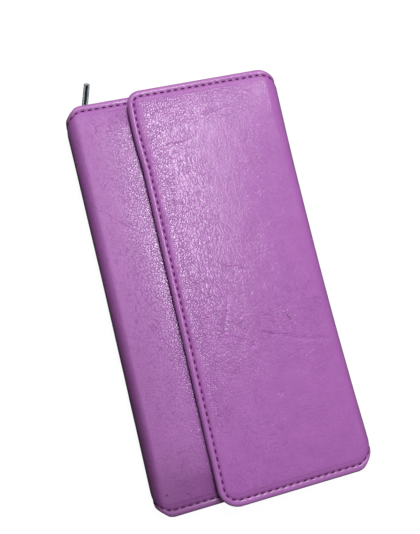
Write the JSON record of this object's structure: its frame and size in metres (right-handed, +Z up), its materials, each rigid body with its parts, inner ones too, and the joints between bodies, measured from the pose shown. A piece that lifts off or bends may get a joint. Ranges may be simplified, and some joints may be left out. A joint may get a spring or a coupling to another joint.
{
  "type": "checkbook wallet",
  "caption": "Long trifold leather wallet for a cheque book: padded front flap over a front panel, two folding spines, card slots, zipped coin pocket and magnetic snaps.",
  "frame": {"origin": "centre of the back panel's flat outer face, on which the closed wallet lies", "axes": "+X across the wallet to the high right fold, +Y along the wallet to the end where the zip pull shows, +Z up through the layers to the flap"},
  "size_m": [0.1014, 0.2054, 0.0256],
  "materials": {
    "outer_leather": "semi-gloss waxed, fine pebble grain",
    "pocket_leather": "semi-gloss, smooth grain",
    "lining_cloth": "matte twill",
    "board": "matte grey board",
    "foam": "matte open-cell foam",
    "zip_tape": "matte woven tape",
    "clear_vinyl": "glossy clear film",
    "nickel": "satin gunmetal nickel"
  },
  "bodies": {
    "back": {"back_cover": "outer_leather", "back_board": "board", "back_lining": "lining_cloth", "cheque_sleeve": "pocket_leather", "lower_card_slot_1": "pocket_leather", "lower_card_slot_2": "pocket_leather", "lower_card_slot_3": "pocket_leather", "upper_card_slot_1": "pocket_leather", "upper_card_slot_2": "pocket_leather", "upper_card_slot_3": "pocket_leather"},
    "right_spine": {"right_spine_cover": "outer_leather", "right_spine_board": "board", "right_spine_lining": "lining_cloth"},
    "flap": {"flap_cover": "outer_leather", "flap_foam": "foam", "flap_board": "board", "flap_lining": "lining_cloth", "flap_pocket": "pocket_leather", "window_vinyl": "clear_vinyl", "lower_snap_stud": "nickel", "upper_snap_stud": "nickel", "lower_stud_washer": "nickel", "upper_stud_washer": "nickel"},
    "left_spine": {"left_spine_cover": "outer_leather", "left_spine_board": "board", "left_spine_lining": "lining_cloth"},
    "front_panel": {"front_panel_cover": "outer_leather", "front_panel_foam": "foam", "front_panel_board": "board", "front_panel_lining": "lining_cloth", "coin_pocket": "lining_cloth", "zip_tape_left": "zip_tape", "zip_tape_right": "zip_tape", "zip_top_stop_left": "nickel", "zip_top_stop_right": "nickel", "zip_bottom_stop": "nickel", "lower_snap_socket": "nickel", "upper_snap_socket": "nickel", "lower_socket_washer": "nickel", "upper_socket_washer": "nickel"},
    "zip_slider": {"zip_slider": "nickel"},
    "pull_ring": {"pull_ring": "nickel"},
    "pull_tab": {"pull_tab": "nickel"}
  },
  "joints": [
    {"name": "right_spine_fold", "type": "hinge", "parent": "back", "child": "right_spine", "pos_m": [0.0493, 0, 0.0015], "axis": [0, 1, 0], "range_deg": [0, 90]},
    {"name": "flap_fold", "type": "hinge", "parent": "right_spine", "child": "flap", "pos_m": [0.0493, 0, 0.0234], "axis": [0, 1, 0], "range_deg": [0, 90]},
    {"name": "left_spine_fold", "type": "hinge", "parent": "back", "child": "left_spine", "pos_m": [-0.04962, 0, 0.00118], "axis": [0, -1, 0], "range_deg": [0, 90]},
    {"name": "front_fold", "type": "hinge", "parent": "left_spine", "child": "front_panel", "pos_m": [-0.04962, 0, 0.01612], "axis": [0, -1, 0], "range_deg": [0, 90]},
    {"name": "zip_slide", "type": "slide", "parent": "front_panel", "child": "zip_slider", "axis": [0, -1, 0], "range_m": [0, 0.144]},
    {"name": "pull_ring_swivel", "type": "hinge", "parent": "zip_slider", "child": "pull_ring", "pos_m": [-0.0385, 0.0869, 0.00565], "axis": [0, 0, 1], "range_deg": [-60, 6]},
    {"name": "pull_tab_swivel", "type": "hinge", "parent": "pull_ring", "child": "pull_tab", "pos_m": [-0.0412, 0.093, 0.00565], "axis": [0, 0, 1], "range_deg": [-25, 12]}
  ],
  "couplings": [
    {"joint": "flap_fold", "follows": "right_spine_fold", "ratio": 1},
    {"joint": "left_spine_fold", "follows": "right_spine_fold", "ratio": 1},
    {"joint": "front_fold", "follows": "right_spine_fold", "ratio": 1}
  ]
}
